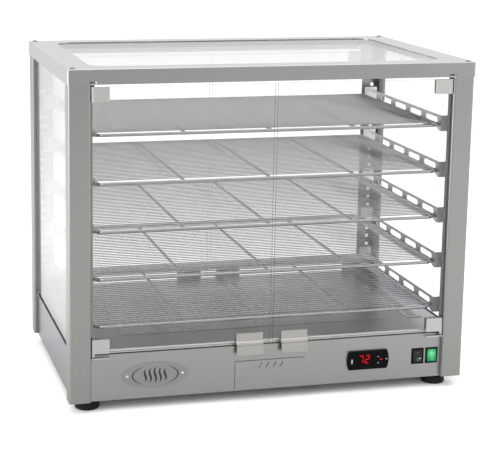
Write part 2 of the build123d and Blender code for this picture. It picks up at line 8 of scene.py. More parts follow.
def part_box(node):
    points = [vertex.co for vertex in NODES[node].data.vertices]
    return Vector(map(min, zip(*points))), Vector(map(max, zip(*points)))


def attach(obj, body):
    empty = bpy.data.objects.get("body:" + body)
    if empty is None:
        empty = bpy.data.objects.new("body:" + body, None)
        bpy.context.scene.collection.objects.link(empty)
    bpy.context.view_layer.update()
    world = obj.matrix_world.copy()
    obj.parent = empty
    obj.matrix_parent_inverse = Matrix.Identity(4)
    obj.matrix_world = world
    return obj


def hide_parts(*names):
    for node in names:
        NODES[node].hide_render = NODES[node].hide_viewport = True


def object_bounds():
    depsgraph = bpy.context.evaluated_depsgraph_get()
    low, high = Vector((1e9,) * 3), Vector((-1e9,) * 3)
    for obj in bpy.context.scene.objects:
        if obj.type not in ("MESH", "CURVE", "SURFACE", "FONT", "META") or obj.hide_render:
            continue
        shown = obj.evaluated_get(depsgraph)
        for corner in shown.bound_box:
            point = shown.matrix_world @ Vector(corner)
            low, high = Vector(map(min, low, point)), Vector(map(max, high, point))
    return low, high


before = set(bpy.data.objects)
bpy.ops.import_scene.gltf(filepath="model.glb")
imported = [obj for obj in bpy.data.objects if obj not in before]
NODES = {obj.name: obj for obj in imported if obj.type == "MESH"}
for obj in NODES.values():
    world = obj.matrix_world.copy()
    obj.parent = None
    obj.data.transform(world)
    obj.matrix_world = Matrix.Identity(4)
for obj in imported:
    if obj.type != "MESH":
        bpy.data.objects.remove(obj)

CAD_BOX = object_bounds()
MM = 0.001
X, Y, Z = 0, 1, 2
DOORS = ("front_right", "front_left", "rear_right", "rear_left")
SHELVES = tuple(f"shelf_{number}" for number in range(1, 6))

# ---------------------------------------------------------------- colours
FACE = (0.465, 0.462, 0.452)
POST = (0.42, 0.415, 0.40)
BAND = (0.447, 0.442, 0.432)
# painted light: a lighter copy of the band's steel, for the band's side faces
BAND_SIDE_PAINTED_LIGHT = (0.53, 0.525, 0.535)
SIDE = (0.425, 0.425, 0.449)
# painted light: a lighter copy of the band's steel, for the top of the frame
TOP_PAINTED_LIGHT = (0.59, 0.59, 0.605)
FLOOR_METAL = (0.36, 0.361, 0.355)
# painted highlight: a brighter copy of the deck's steel, for its rolled noses
NOSE_HIGHLIGHT = (0.70, 0.695, 0.68)
RUNNER = (0.62, 0.62, 0.63)
# painted light: a much brighter copy of the runner steel, for the runners' front ends
RUNNER_END_PAINTED_LIGHT = (0.95, 0.95, 0.94)
HINGE = (0.67, 0.665, 0.64)
PULL = (0.56, 0.545, 0.51)
CLEAR_TINT = (0.975, 0.975, 0.985)
RED_GLOW = (1.0, 0.008, 0.018)
LENS_GREEN = (0.006, 0.15, 0.07)
LENS_GREEN_HOT = (0.08, 0.5, 0.2)
GREEN_GLOW = (0.0, 0.16, 0.06)
GREEN_GLOW_HOT = (0.2, 0.9, 0.3)

# ---------------------------------------------------------------- finishes
NOISE_FILLS = (0.3, 0.7)            # the part of 0..1 that a noise mostly fills
SCRATCH_SCALE = (2300.0, 11.0)      # per metre: across the brushing, and along it
STREAK_SCALE = (900.0, 3.0)
PATCH_SCALE = 5.0
PATCH_SHARE = 0.03
NOSE_DEPTH = 7 * MM                 # how far the painted highlight on the deck's rolled noses reaches in and down

# ---------------------------------------------------------------- display, keys and badge
DIGIT_DEPTH = 0.16 * MM
DIGIT_REACH = (3.8 * MM, 7.3 * MM)  # from a digit's middle to its outer bars
DIGIT_STROKE = 2.4 * MM
DIGIT_GAP = 0.2 * MM                # between one bar and the next
DIGIT_SLANT = 0.10
FIRST_DIGIT_IN = 5.6 * MM           # from the lens's left end
SECOND_DIGIT_IN = 10.6 * MM         # from the lens's right end
KEY_PRINT_DEPTH = 0.12 * MM
ARROW_HALF = 1.5 * MM
ARROW_FOOT = 0.9 * MM
ARROW_TIP = 1.4 * MM
SET_MARK = (2.1 * MM, 0.9 * MM)     # half sizes
TICK_DEPTH = 0.1 * MM
LEFT_TICK_IN = 9.0 * MM
LEFT_TICK_DROP = 1.6 * MM
LEFT_TICK = (1.5 * MM, 4.4 * MM)
RIGHT_TICK_IN = 5.0 * MM
RIGHT_TICK = (2.0 * MM, 0.8 * MM)
BADGE_PRINT_DEPTH = 0.15 * MM
WAVE_HEIGHT = 30 * MM
WAVE_WIDTH = 4.2 * MM
WAVE_GAP = 9.5 * MM
WAVE_SWAY = 1.5 * MM
WAVE_SHRINK = 0.12                  # how much shorter each wave is than its neighbour nearer the middle
WAVE_TAPER = 0.35                   # a wave's width at its ends, as a share of the width at its middle
BRACKET_IN = (19 * MM, 5 * MM)      # from the plate's edge, across and up
BRACKET_STROKE = 2.4 * MM
BRACKET_END = 0.15 * MM             # what is left of the stroke's width at its ends

# ---------------------------------------------------------------- rockers
SIGN_THICKNESS = 0.5 * MM
ON_SIGN = (4 * MM, 9 * MM)          # lower and upper end, above the rocker's middle
OFF_SIGN_DROP = 6.6 * MM
OFF_SIGN_RADIUS = 2.3 * MM
LAMP_OFFSET = (4 * MM, -4.5 * MM)
LAMP_RADIUS = 1.2 * MM
LAMP_RISE = 0.6 * MM
RAY_START = 100 * MM                # in front of the cabinet
GLOW_RISE = 3.5 * MM                # the green rocker's lamp sits above its middle
GLOW_REACH = 14 * MM

# ---------------------------------------------------------------- seals and screws
SEAL_THICKNESS = 2.8 * MM
SEAL_OUT = 0.8 * MM
SEAL_END = 19 * MM                  # from the pane's ends to the strip's, at the locking plates
DOME_RADIUS = 6.2 * MM
DOME_STEPS = (0.97, 0.85, 0.7, 0.55)    # of the radius
SOCKET_CORNER = 2.1 * MM            # from the socket's middle
SOCKET_DEPTH = 1.3 * MM
SOCKET_LIP = 0.25 * MM
SOCKET_CHAMFER = 0.2 * MM
DOME_POINTS = 48                    # round each screw

# ---------------------------------------------------------------- studio
CAMERA_PLACE = (-0.809, -2.794, 0.963)
CAMERA_TURN = (78.847, -0.704, -14.432)     # degrees
CAMERA_LENS = 106.15
CAMERA_SHIFT = (0.1, -0.1)
LOW_GLOW = (0.42, 0.95)             # the studio's brightness near the horizon, in front and behind
HIGH_GLOW = (0.85, 1.05)            # the same overhead
SIDE_GLOW = 0.25                    # added near the horizon at both sides
SEEN_GLOW = 1.06                    # where the camera sees the studio itself
BEHIND_RANGE = (-0.6, 0.8)          # of a direction's Y, from front to behind
RISE_RANGE = (0.0, 0.6)             # of a direction's Z, from low to high
FLOOR_REACH = 8.0
FLOOR_SEEN = (1.25, 1.25, 1.25)     # over 1, so that soft shadows stay pale
FLOOR_FRONT_LEFT = (0.55, 0.55, 0.55)
FLOOR_FRONT_RIGHT = (0.74, 0.74, 0.74)
FLOOR_BACK = (1.0, 1.0, 1.01)
BACK_SLANT = 1.5                    # the floor's back tone comes further forward on the left
BACK_RANGE = (0.3, 2.0)             # metres over which it sets in
RIGHT_RANGE = (-0.5, 1.1)           # metres over which the front tone goes from left to right
LIGHTS = {                          # place, target, size, watts
    "key": ((-2.0, -2.6, 2.8), (0, 0, 0.3), (4.4, 3.2), 48.0),
    "left_panel": ((-2.6, -0.5, 0.9), (-0.3, -0.2, 0.3), (2.2, 2.0), 22.0),
    "right_fill": ((3.0, -2.4, 1.7), (0.4, -0.2, 0.3), (3.6, 3.0), 22.5),
    "overhead": ((0.2, -0.1, 2.6), (0, 0, 0.3), (2.2, 2.2), 14.0),
}


# ---------------------------------------------------------------- node trees
class Tree:
    """A node tree and the short calls that fill it."""

    def __init__(self, owner):
        owner.use_nodes = True
        self.tree = owner.node_tree
        self.tree.nodes.clear()

    def node(self, kind, **settings):
        made = self.tree.nodes.new(kind)
        for name, value in settings.items():
            setattr(made, name, value)
        return made

    def feed(self, socket, value):
        """Links a socket to another one, or sets its value."""
        if isinstance(value, bpy.types.NodeSocket):
            self.tree.links.new(value, socket)
        else:
            socket.default_value = value

    def math(self, operation, first, second=0.0, clamp=False):
        made = self.node("ShaderNodeMath", operation=operation, use_clamp=clamp)
        self.feed(made.inputs[0], first)
        self.feed(made.inputs[1], second)
        return made.outputs[0]

    def spread(self, value, low, high, start=0.0, end=1.0):
        """Maps start..end onto low..high."""
        made = self.node("ShaderNodeMapRange")
        for name, number in (("From Min", start), ("From Max", end), ("To Min", low), ("To Max", high)):
            made.inputs[name].default_value = number
        self.feed(made.inputs["Value"], value)
        return made.outputs["Result"]

    def vary(self, noise, low, high):
        """Lets a noise swing between low and high."""
        return self.spread(noise, low, high, *NOISE_FILLS)

    def noise(self, scale, detail=2.0, roughness=0.5, seed=0.0):
        """Noise in the frame's own metres. Scale is a number, or one per axis for a stretched grain."""
        place = self.node("ShaderNodeTexCoord").outputs["Object"]
        mapped = self.node("ShaderNodeMapping")
        self.feed(mapped.inputs["Vector"], place)
        mapped.inputs["Scale"].default_value = scale if isinstance(scale, tuple) else (scale,) * 3
        mapped.inputs["Location"].default_value = (seed, seed * 0.7, seed * 1.3)
        made = self.node("ShaderNodeTexNoise")
        self.feed(made.inputs["Vector"], mapped.outputs["Vector"])
        made.inputs["Scale"].default_value = 1.0
        made.inputs["Detail"].default_value = detail
        made.inputs["Roughness"].default_value = roughness
        return made.outputs["Fac"]

    def tint(self, factor, first, second):
        made = self.node("ShaderNodeMix", data_type="RGBA")
        self.feed(made.inputs["Factor"], factor)
        for socket, colour in (("A", first), ("B", second)):
            self.feed(made.inputs[socket], (*colour, 1.0) if isinstance(colour, tuple) else colour)
        return made.outputs["Result"]

    def bump(self, height, strength, distance):
        made = self.node("ShaderNodeBump")
        made.inputs["Strength"].default_value = strength
        made.inputs["Distance"].default_value = distance
        self.feed(made.inputs["Height"], height)
        return made.outputs["Normal"]

    def principled(self, **values):
        made = self.node("ShaderNodeBsdfPrincipled")
        for name, value in values.items():
            socket = made.inputs[name.replace("_", " ").title().replace("Ior", "IOR")]
            self.feed(socket, (*value, 1.0) if isinstance(value, tuple) else value)
        return made.outputs[0]

    def clear(self, tint):
        made = self.node("ShaderNodeBsdfTransparent")
        made.inputs["Color"].default_value = (*tint, 1.0)
        return made.outputs[0]

    def background(self, strength):
        made = self.node("ShaderNodeBackground")
        made.inputs["Color"].default_value = (1.0, 1.0, 1.0, 1.0)
        self.feed(made.inputs["Strength"], strength)
        return made.outputs[0]

    def blend(self, factor, first, second):
        made = self.node("ShaderNodeMixShader")
        for socket, value in zip(made.inputs, (factor, first, second)):
            self.feed(socket, value)
        return made.outputs[0]

    def finish(self, shader, kind="ShaderNodeOutputMaterial"):
        self.feed(self.node(kind).inputs["Surface"], shader)


def new_material(name):
    material = bpy.data.materials.new(name)
    return material, Tree(material)


def shade(colour, share):
    return tuple(channel * share for channel in colour)


# ---------------------------------------------------------------- materials
def grain_scale(scale, along):
    across, lengthwise = scale
    return tuple(lengthwise if axis == along else across for axis in (X, Y, Z))


def brushed(name, colour, along, roughness=0.3, contrast=0.014):
    """Brushed sheet metal: fine scratches along one axis, broad uneven patches and a soft sheen."""
    material, tree = new_material(name)
    scratches = tree.noise(grain_scale(SCRATCH_SCALE, along), detail=3.0, roughness=0.6)
    streaks = tree.noise(grain_scale(STREAK_SCALE, along), seed=3.1)
    mixed = tree.math("MULTIPLY", tree.math("ADD", scratches, streaks), 0.5)
    cloud = tree.vary(tree.noise(PATCH_SCALE, seed=7.7), -PATCH_SHARE, PATCH_SHARE)
    factor = tree.math("ADD", tree.vary(mixed, 0.0, 1.0), cloud, clamp=True)
    surface = tree.principled(
        base_color=tree.tint(factor, shade(colour, 1 - contrast), shade(colour, 1 + contrast)),
        metallic=1.0,
        roughness=tree.math("ADD", tree.vary(mixed, roughness - 0.025, roughness + 0.025), cloud),
        normal=tree.bump(mixed, strength=0.003, distance=0.0004),
    )
    tree.finish(surface)
    return material


def polished(name, colour, roughness, pit_scale=700.0, depth=0.03):
    """Smooth metal with faint clouding and fine pitting."""
    material, tree = new_material(name)
    cloud = tree.noise(60.0, detail=3.0)
    pits = tree.noise(pit_scale, seed=2.0)
    surface = tree.principled(
        base_color=tree.tint(cloud, shade(colour, 0.93), shade(colour, 1.05)),
        metallic=1.0,
        roughness=tree.vary(cloud, roughness * 0.8, roughness * 1.25),
        normal=tree.bump(pits, strength=depth, distance=0.0003),
    )
    tree.finish(surface)
    return material


def moulded(name, colour, roughness, grain=1300.0, depth=0.25, lacquer=0.0, gloss=0.5):
    """Moulded plastic or rubber with a fine spark-eroded texture."""
    material, tree = new_material(name)
    texture = tree.noise(grain, detail=3.0, roughness=0.65)
    worn = tree.noise(45.0, detail=3.0, seed=5.0)
    surface = tree.principled(
        base_color=tree.tint(worn, shade(colour, 0.8), shade(colour, 1.25)),
        roughness=tree.vary(worn, roughness - 0.06, roughness + 0.06),
        specular_ior_level=gloss,
        coat_weight=lacquer,
        coat_roughness=0.08,
        normal=tree.bump(texture, strength=depth, distance=0.0002),
    )
    tree.finish(surface)
    return material


def clear_glass(name, tint, sheen, floor, rise=4.0):
    """Clear glass: see-through, with faint wipe marks and a reflection that grows at grazing angles."""
    material, tree = new_material(name)
    facing = tree.node("ShaderNodeLayerWeight")
    facing.inputs["Blend"].default_value = 0.5
    grazing = tree.math("POWER", facing.outputs["Facing"], rise)
    factor = tree.math("ADD", tree.math("MULTIPLY", grazing, sheen), floor, clamp=True)
    wipes = tree.noise((30.0, 30.0, 9.0), detail=4.0, roughness=0.7)
    gloss = tree.principled(
        base_color=tree.tint(wipes, (0.93, 0.95, 0.95), (1.0, 1.0, 1.0)),
        metallic=1.0,
        roughness=tree.spread(wipes, 0.01, 0.05, 0.4, 0.75),
    )
    tree.finish(tree.blend(factor, tree.clear(tint), gloss))
    return material


def glass_edge(name, colour, cover=0.82):
    """The polished rim of a pane: green, and only a little see-through."""
    material, tree = new_material(name)
    ripple = tree.noise(350.0)
    rim = tree.principled(
        base_color=tree.tint(ripple, shade(colour, 0.88), shade(colour, 1.1)),
        roughness=tree.vary(ripple, 0.12, 0.3),
        coat_weight=0.6,
        coat_roughness=0.05,
    )
    tree.finish(tree.blend(cover, tree.clear((0.9, 0.97, 0.94)), rim))
    return material


def lit(name, colour, glow, strength):
    """A lit plastic part: its own colour, and a glow that is a little uneven."""
    material, tree = new_material(name)
    uneven = tree.noise(160.0)
    surface = tree.principled(
        base_color=tree.tint(uneven, shade(colour, 0.75), colour),
        roughness=tree.spread(uneven, 0.2, 0.35),
        specular_ior_level=0.1,
        emission_color=tree.tint(uneven, shade(glow, 0.8), glow),
        emission_strength=strength,
    )
    tree.finish(surface)
    return material


def green_lens(name, centre, reach):
    """Translucent green plastic with the lamp's bright patch behind its middle."""
    material, tree = new_material(name)
    apart = tree.node("ShaderNodeVectorMath", operation="DISTANCE")
    tree.feed(apart.inputs[0], tree.node("ShaderNodeTexCoord").outputs["Object"])
    apart.inputs[1].default_value = centre
    near = tree.spread(apart.outputs["Value"], 1.0, 0.0, 0.0, reach)
    hot = tree.math("POWER", near, 1.6)
    surface = tree.principled(
        base_color=tree.tint(hot, LENS_GREEN, LENS_GREEN_HOT),
        roughness=tree.spread(tree.noise(400.0), 0.2, 0.34),
        specular_ior_level=0.3,
        emission_color=tree.tint(hot, GREEN_GLOW, GREEN_GLOW_HOT),
        emission_strength=0.75,
    )
    tree.finish(surface)
    return material


STEEL_X = brushed("steel_face_x", FACE, X)
# painted shade: a near-black copy of the face steel, for the drawer front's edges and the walls of its
# recesses
STEEL_PAINTED_SHADE = brushed("steel_painted_shade_x", shade(FACE, 0.2), X, roughness=0.5)
STEEL_POST = brushed("steel_post_z", POST, Z)
# painted shade: a darker copy of the post steel, for the rear posts
STEEL_REAR_POST_PAINTED_SHADE = brushed("steel_rear_post_painted_shade_z", shade(POST, 0.82), Z)
STEEL_BAND = brushed("steel_band_x", BAND, X, roughness=0.26)
# painted light: lighter copies of the band's steel, for the band's side faces and the top
STEEL_BAND_SIDE_PAINTED_LIGHT = brushed("steel_band_side_painted_light_y", BAND_SIDE_PAINTED_LIGHT, Y, roughness=0.26)
STEEL_TOP_PAINTED_LIGHT = brushed("steel_top_painted_light_x", TOP_PAINTED_LIGHT, X, roughness=0.34)
STEEL_SIDE = brushed("steel_side_y", SIDE, Y)
STEEL_DECK = brushed("steel_deck_x", FLOOR_METAL, X, roughness=0.3)
# painted highlight on the deck's rolled noses
STEEL_NOSE_HIGHLIGHT = brushed("steel_nose_highlight_x", NOSE_HIGHLIGHT, X, roughness=0.36)
STEEL_COVER = brushed("steel_cover_x", shade(FLOOR_METAL, 1.05), X, roughness=0.27)
STEEL_RUNNER = brushed("steel_runner_y", RUNNER, Y, roughness=0.38)
# painted light on the runners' front ends
STEEL_RUNNER_END_PAINTED_LIGHT = brushed("steel_runner_end_painted_light_x", RUNNER_END_PAINTED_LIGHT, X, roughness=0.5)
STEEL_HINGE = brushed("steel_hinge_x", HINGE, X, roughness=0.34)
ALUMINIUM_PULL = brushed("aluminium_pull_x", PULL, X, roughness=0.32, contrast=0.06)
BADGE = brushed("badge_plate_x", (0.40, 0.40, 0.39), X, roughness=0.36)
ZINC = brushed("zinc_sheet_x", (0.52, 0.53, 0.55), X, roughness=0.42, contrast=0.12)
CHROME_WIRE = polished("bright_wire", (0.53, 0.53, 0.535), 0.12, pit_scale=160.0, depth=0.006)
SCREW = polished("screw_steel", (0.22, 0.215, 0.205), 0.14)
RIVET = polished("rivet_steel", (0.8, 0.8, 0.79), 0.24)
HEATER = polished("heater_sheath", (0.16, 0.14, 0.13), 0.38)
MOTOR = moulded("motor_enamel", (0.16, 0.17, 0.19), 0.42, grain=500.0)
RUBBER = moulded("foot_rubber", (0.009, 0.009, 0.009), 0.55, grain=800.0, depth=0.4, gloss=0.3)
BLACK = moulded("black_moulding", (0.003, 0.003, 0.0035), 0.28, gloss=0.1)
NYLON = moulded("bush_nylon", (0.015, 0.015, 0.015), 0.5)
KEY = moulded("grey_key", (0.010, 0.010, 0.011), 0.36, gloss=0.2)
ROCKER = moulded("black_rocker", (0.020, 0.017, 0.015), 0.3, lacquer=0.15, gloss=0.3)
LENS = moulded("display_lens", (0.003, 0.0015, 0.0015), 0.2, grain=300.0, depth=0.02, gloss=0.1)
PANE = clear_glass("door_pane", (0.965, 0.97, 0.97), 0.75, 0.015)
SIDE_PANE = clear_glass("side_pane", CLEAR_TINT, 1.05, 0.02, rise=3.0)
FAR_SIDE_PANE = clear_glass("far_side_pane", CLEAR_TINT, 0.25, 0.015)
TOP_PANE = clear_glass("top_pane", (0.985, 0.985, 0.99), 0.8, 0.02)
EDGE = glass_edge("pane_edge", (0.15, 0.22, 0.19))


# ---------------------------------------------------------------- places
def middle_of(name):
    """The middle of a node in the front plane."""
    low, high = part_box(name)
    return (low.x + high.x) / 2, (low.z + high.z) / 2


def ring(centre, radius, count):
    """Points round a circle in the front plane."""
    turns = (2 * math.pi * place / count for place in range(count))
    return [(centre[0] + radius * math.cos(turn), centre[1] + radius * math.sin(turn)) for turn in turns]


def rectangle(x, z, half_x, half_z):
    """A rectangle's corners in the front plane."""
    return [(x + sx * half_x, z + sz * half_z) for sx, sz in ((-1, -1), (1, -1), (1, 1), (-1, 1))]


# ---------------------------------------------------------------- finishes of the carried-over parts
def coat_faces(name, materials, choose):
    """Gives each face of a node the material that choose picks by number."""
    mesh = NODES[name].data
    mesh.materials.clear()
    for material in materials:
        mesh.materials.append(material)
    for face in mesh.polygons:
        face.material_index = choose(face)


def coat(material, *names):
    """Gives whole nodes one material."""
    for name in names:
        coat_faces(name, (material,), lambda face: 0)


def coat_by_facing(name, axis, facing, others, limit=0.9):
    """One material for the faces that look along an axis, and another for the rest."""
    coat_faces(name, (facing, others), lambda face: int(abs(face.normal[axis]) <= limit))


def coat_top_frame():
    """The band's grain runs round the cabinet, and the top's from side to side. The band's side faces and
    the top get lighter copies of the band's steel: painted light.
    """

    def choose(face):
        across, along, up = (abs(part) for part in face.normal)
        return 2 if up > max(across, along) else int(across > along)

    coat_faces("top_frame", (STEEL_BAND, STEEL_BAND_SIDE_PAINTED_LIGHT, STEEL_TOP_PAINTED_LIGHT), choose)


def coat_deck():
    """The deck's rolled noses, front and rear, get a painted highlight: a brighter steel than the sheet
    between them.
    """
    low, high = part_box("deck")

    def choose(face):
        out = min(face.center.y - low.y, high.y - face.center.y)
        return int(out < NOSE_DEPTH and face.center.z > high.z - NOSE_DEPTH)

    coat_faces("deck", (STEEL_DECK, STEEL_NOSE_HIGHLIGHT), choose)


def coat_green_rocker():
    x, z = middle_of("rocker_heat")
    lamp = (x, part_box("rocker_heat")[0].y, z + GLOW_RISE)
    coat(green_lens("green_rocker", lamp, GLOW_REACH), "rocker_heat")


def coat_everything():
    coat_top_frame()
    coat_deck()
    coat(STEEL_POST, "post_front_left", "post_front_right", "shelf_uprights")
    # the rear posts get painted shade
    coat(STEEL_REAR_POST_PAINTED_SHADE, "post_rear_left", "post_rear_right")
    coat(STEEL_X, "front_fascia", "rear_panel", "bottom_plate", "drawer_tray")
    # the drawer front's edges and recess walls get painted shade
    coat_by_facing("drawer_front", Y, STEEL_X, STEEL_PAINTED_SHADE)
    coat(STEEL_SIDE, "side_panel_left", "side_panel_right", "side_glass_clips")
    coat(STEEL_COVER, "deck_cover", "deck_vent")
    # the runners' front ends get painted light
    coat_by_facing("shelf_runners", Y, STEEL_RUNNER_END_PAINTED_LIGHT, STEEL_RUNNER, limit=0.7)
    coat(CHROME_WIRE, *SHELVES)
    coat(STEEL_HINGE, "hinge_brackets", *(f"hinge_clips_{side}" for side in DOORS))
    coat(ALUMINIUM_PULL, *(f"handle_{side}" for side in DOORS))
    coat(BADGE, "badge_plate")
    coat(SCREW, "top_screws", "hinge_pins")
    coat(RIVET, "badge_rivets")
    coat(ZINC, "heater_brackets", "drawer_guides", "glass_retainers")
    coat(HEATER, "heating_element")
    coat(MOTOR, "fan_motor", "fan_impeller")
    coat(RUBBER, "feet")
    coat(BLACK, "controller_body", "switch_housings", "cable_gland")
    coat(NYLON, "hinge_bushes")
    coat(KEY, "button_up", "button_set", "button_down")
    coat(LENS, "controller_display")
    coat(ROCKER, "rocker_power")
    coat_green_rocker()
    for side in DOORS:
        coat_by_facing(f"door_glass_{side}", Y, PANE, EDGE)
    coat_by_facing("side_glass_left", X, SIDE_PANE, EDGE)
    coat_by_facing("side_glass_right", X, FAR_SIDE_PANE, EDGE)
    coat_by_facing("top_glass", Z, TOP_PANE, EDGE)


# ---------------------------------------------------------------- making pieces
def add_piece(name, data, material, body):
    piece = bpy.data.objects.new(name, data)
    bpy.context.scene.collection.objects.link(piece)
    data.materials.append(material)
    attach(piece, body)
    return piece


def as_mesh(made, name):
    """Turns a bmesh into a mesh whose faces look outwards."""
    bmesh.ops.recalc_face_normals(made, faces=made.faces)
    mesh = bpy.data.meshes.new(name)
    made.to_mesh(mesh)
    made.free()
    return mesh


def skin(made, loops):
    """Faces from each loop of points to the next, and over both ends."""
    for outer, inner in zip(loops, loops[1:]):
        for place in range(len(outer)):
            after = (place + 1) % len(outer)
            made.faces.new((outer[place], outer[after], inner[after], inner[place]))
    made.faces.new(loops[0][::-1])
    made.faces.new(loops[-1])


def plaques(name, outlines, back, thickness, material, body):
    """Thin raised shapes on a front-facing surface. Each outline is (x, z) points, clear of the others."""
    made = bmesh.new()
    for outline in outlines:
        face = made.faces.new([made.verts.new((x, back, z)) for x, z in outline])
        grown = bmesh.ops.extrude_face_region(made, geom=[face])["geom"]
        front = [item for item in grown if isinstance(item, bmesh.types.BMVert)]
        bmesh.ops.translate(made, vec=(0, -thickness, 0), verts=front)
    return add_piece(name, as_mesh(made, name), material, body)


def bead(name, lines, thickness, material, body, closed=False):
    """Thin round beads along smooth lines of (x, y, z) points."""
    curve = bpy.data.curves.new(name, "CURVE")
    curve.dimensions = "3D"
    curve.bevel_depth = thickness / 2
    curve.bevel_resolution = 3
    curve.use_fill_caps = not closed
    for points in lines:
        spline = curve.splines.new("NURBS")
        spline.points.add(len(points) - 1)
        for point, place in zip(spline.points, points):
            point.co = (*place, 1)
        spline.order_u = 3
        spline.use_cyclic_u = closed
        spline.use_endpoint_u = not closed
    return add_piece(name, curve, material, body)


def lens_cap(name, centre, tip, radius, height, material, body):
    """A low dome on a front face, turned about X by tip."""
    rows, count = 5, 24
    made = bmesh.new()
    loops = []
    for row in range(rows):
        lift = math.radians(90) * row / rows
        points = ring((0, 0), radius * math.cos(lift), count)
        loops.append([made.verts.new((x, -height * math.sin(lift), z)) for x, z in points])
    skin(made, loops)
    bmesh.ops.rotate(made, cent=(0, 0, 0), matrix=Matrix.Rotation(tip, 3, "X"), verts=made.verts)
    bmesh.ops.translate(made, vec=centre, verts=made.verts)
    mesh = as_mesh(made, name)
    for face in mesh.polygons:
        face.use_smooth = len(face.vertices) == 4
    return add_piece(name, mesh, material, body)


# ---------------------------------------------------------------- controller
SEGMENTS = {                        # column, row, upright
    "top": (0, 1, False),
    "upper_left": (-1, 0.5, True),
    "upper_right": (1, 0.5, True),
    "middle": (0, 0, False),
    "lower_left": (-1, -0.5, True),
    "lower_right": (1, -0.5, True),
    "bottom": (0, -1, False),
}
DIGITS = {
    "7": ("top", "upper_right", "lower_right"),
    "2": ("top", "upper_right", "middle", "lower_left", "bottom"),
}


def segment(x, z, length, upright, lean_from):
    """One bar of a seven-segment digit: a hexagon that leans with the digit."""
    half, edge = length / 2, DIGIT_STROKE / 2
    upper = [(-half, 0), (-half + edge, edge), (half - edge, edge)]
    points = upper + [(-across, -up) for across, up in upper]
    if upright:
        points = [(-up, across) for across, up in points]
    return [(x + across + DIGIT_SLANT * (z + up - lean_from), z + up) for across, up in points]


def display_digits():
    """Two lit digits on the display's face."""
    low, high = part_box("controller_display")
    middle_z = (low.z + high.z) / 2
    half_width, half_height = DIGIT_REACH
    bars = []
    for digit, digit_x in (("7", low.x + FIRST_DIGIT_IN), ("2", high.x - SECOND_DIGIT_IN)):
        for name in DIGITS[digit]:
            column, row, upright = SEGMENTS[name]
            length = (half_height if upright else 2 * half_width) - DIGIT_GAP
            x, z = digit_x + column * half_width, middle_z + row * half_height
            bars.append(segment(x, z, length, upright, middle_z))
    red = lit("lit_red", (0.12, 0.002, 0.003), RED_GLOW, 0.62)
    plaques("display_digits", bars, low.y, DIGIT_DEPTH, red, "cabinet")


def key_marks():
    """Printed arrows on the two outer keys and a lit bar on the middle one."""
    white = moulded("mark_white", (0.62, 0.64, 0.66), 0.45)
    red = lit("lamp_red", (0.3, 0.01, 0.01), (1.0, 0.02, 0.02), 1.0)

    def mark(body, outline, ink):
        plaques(f"{body}_mark", [outline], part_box(body)[0].y, KEY_PRINT_DEPTH, ink, body)

    for body, way in (("button_up", 1), ("button_down", -1)):
        x, z = middle_of(body)
        foot = z - way * ARROW_FOOT
        mark(body, [(x - ARROW_HALF, foot), (x + ARROW_HALF, foot), (x, z + way * ARROW_TIP)], white)
    mark("button_set", rectangle(*middle_of("button_set"), *SET_MARK), red)


def bezel_marks():
    """Two small printed ticks near the bowed ends of the controller."""
    low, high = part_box("controller_body")
    middle_z = middle_of("button_set")[1]
    silver = polished("mark_silver", (0.7, 0.7, 0.7), 0.3)
    ticks = [
        rectangle(low.x + LEFT_TICK_IN, middle_z - LEFT_TICK_DROP, *LEFT_TICK),
        rectangle(high.x - RIGHT_TICK_IN, middle_z, *RIGHT_TICK),
    ]
    plaques("bezel_ticks", ticks, low.y, TICK_DEPTH, silver, "cabinet")


# ---------------------------------------------------------------- badge
def heat_wave(centre, place, steps=20):
    """One rising wavy stroke as a closed outline. The waves grow shorter away from the middle one."""
    reach = WAVE_HEIGHT * (1 - WAVE_SHRINK * abs(place))
    left, right = [], []
    for step in range(steps + 1):
        part = step / steps
        x = centre[0] + place * WAVE_GAP + WAVE_SWAY * math.sin(part * 2 * math.pi)
        z = centre[1] + reach * (part - 0.5)
        half = WAVE_WIDTH * (WAVE_TAPER + (1 - WAVE_TAPER) * math.sin(part * math.pi)) / 2
        left.append((x - half, z))
        right.append((x + half, z))
    return right + left[::-1]


def bracket(centre, reach_x, reach_z, turn_from, turn_to, steps=28):
    """A curved stroke along an ellipse, from one angle in degrees to another, thin at both ends."""
    outer, inner = [], []
    for step in range(steps + 1):
        part = step / steps
        turn = math.radians(turn_from + (turn_to - turn_from) * part)
        thick = BRACKET_STROKE * math.sin(part * math.pi) + BRACKET_END
        for side, less in ((outer, 0.0), (inner, thick)):
            x = centre[0] + (reach_x - less) * math.cos(turn)
            z = centre[1] + (reach_z - less) * math.sin(turn)
            side.append((x, z))
    return outer + inner[::-1]


def badge_print():
    """The badge's two brackets and a plain sign for warmth, with no lettering."""
    low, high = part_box("badge_plate")
    centre = middle_of("badge_plate")
    reach_x = (high.x - low.x) / 2 - BRACKET_IN[0]
    reach_z = (high.z - low.z) / 2 - BRACKET_IN[1]
    ink = moulded("badge_ink", (0.03, 0.03, 0.032), 0.35)
    waves = [heat_wave(centre, place) for place in (-2, -1, 0, 1, 2)]
    strokes = [bracket(centre, reach_x, reach_z, *turns) for turns in ((-60, 60), (120, 240))]
    for name, outlines in (("badge_sign", waves), ("badge_brackets", strokes)):
        plaques(name, outlines, low.y, BADGE_PRINT_DEPTH, ink, "cabinet")


# ---------------------------------------------------------------- rockers
def front_face(name, x, z):
    """The place and the normal of the foremost face of a CAD node at x and z."""
    node = NODES[name]
    inward = node.matrix_world.inverted()
    start = inward @ Vector((x, CAD_BOX[0].y - RAY_START, z))
    way = inward.to_3x3() @ Vector((0, 1, 0))
    found, place, normal, _ = node.ray_cast(start, way)
    if not found:
        raise ValueError(f"{name} has no face at {x:.4f}, {z:.4f}")
    return node.matrix_world @ place, (node.matrix_world.to_3x3() @ normal).normalized()


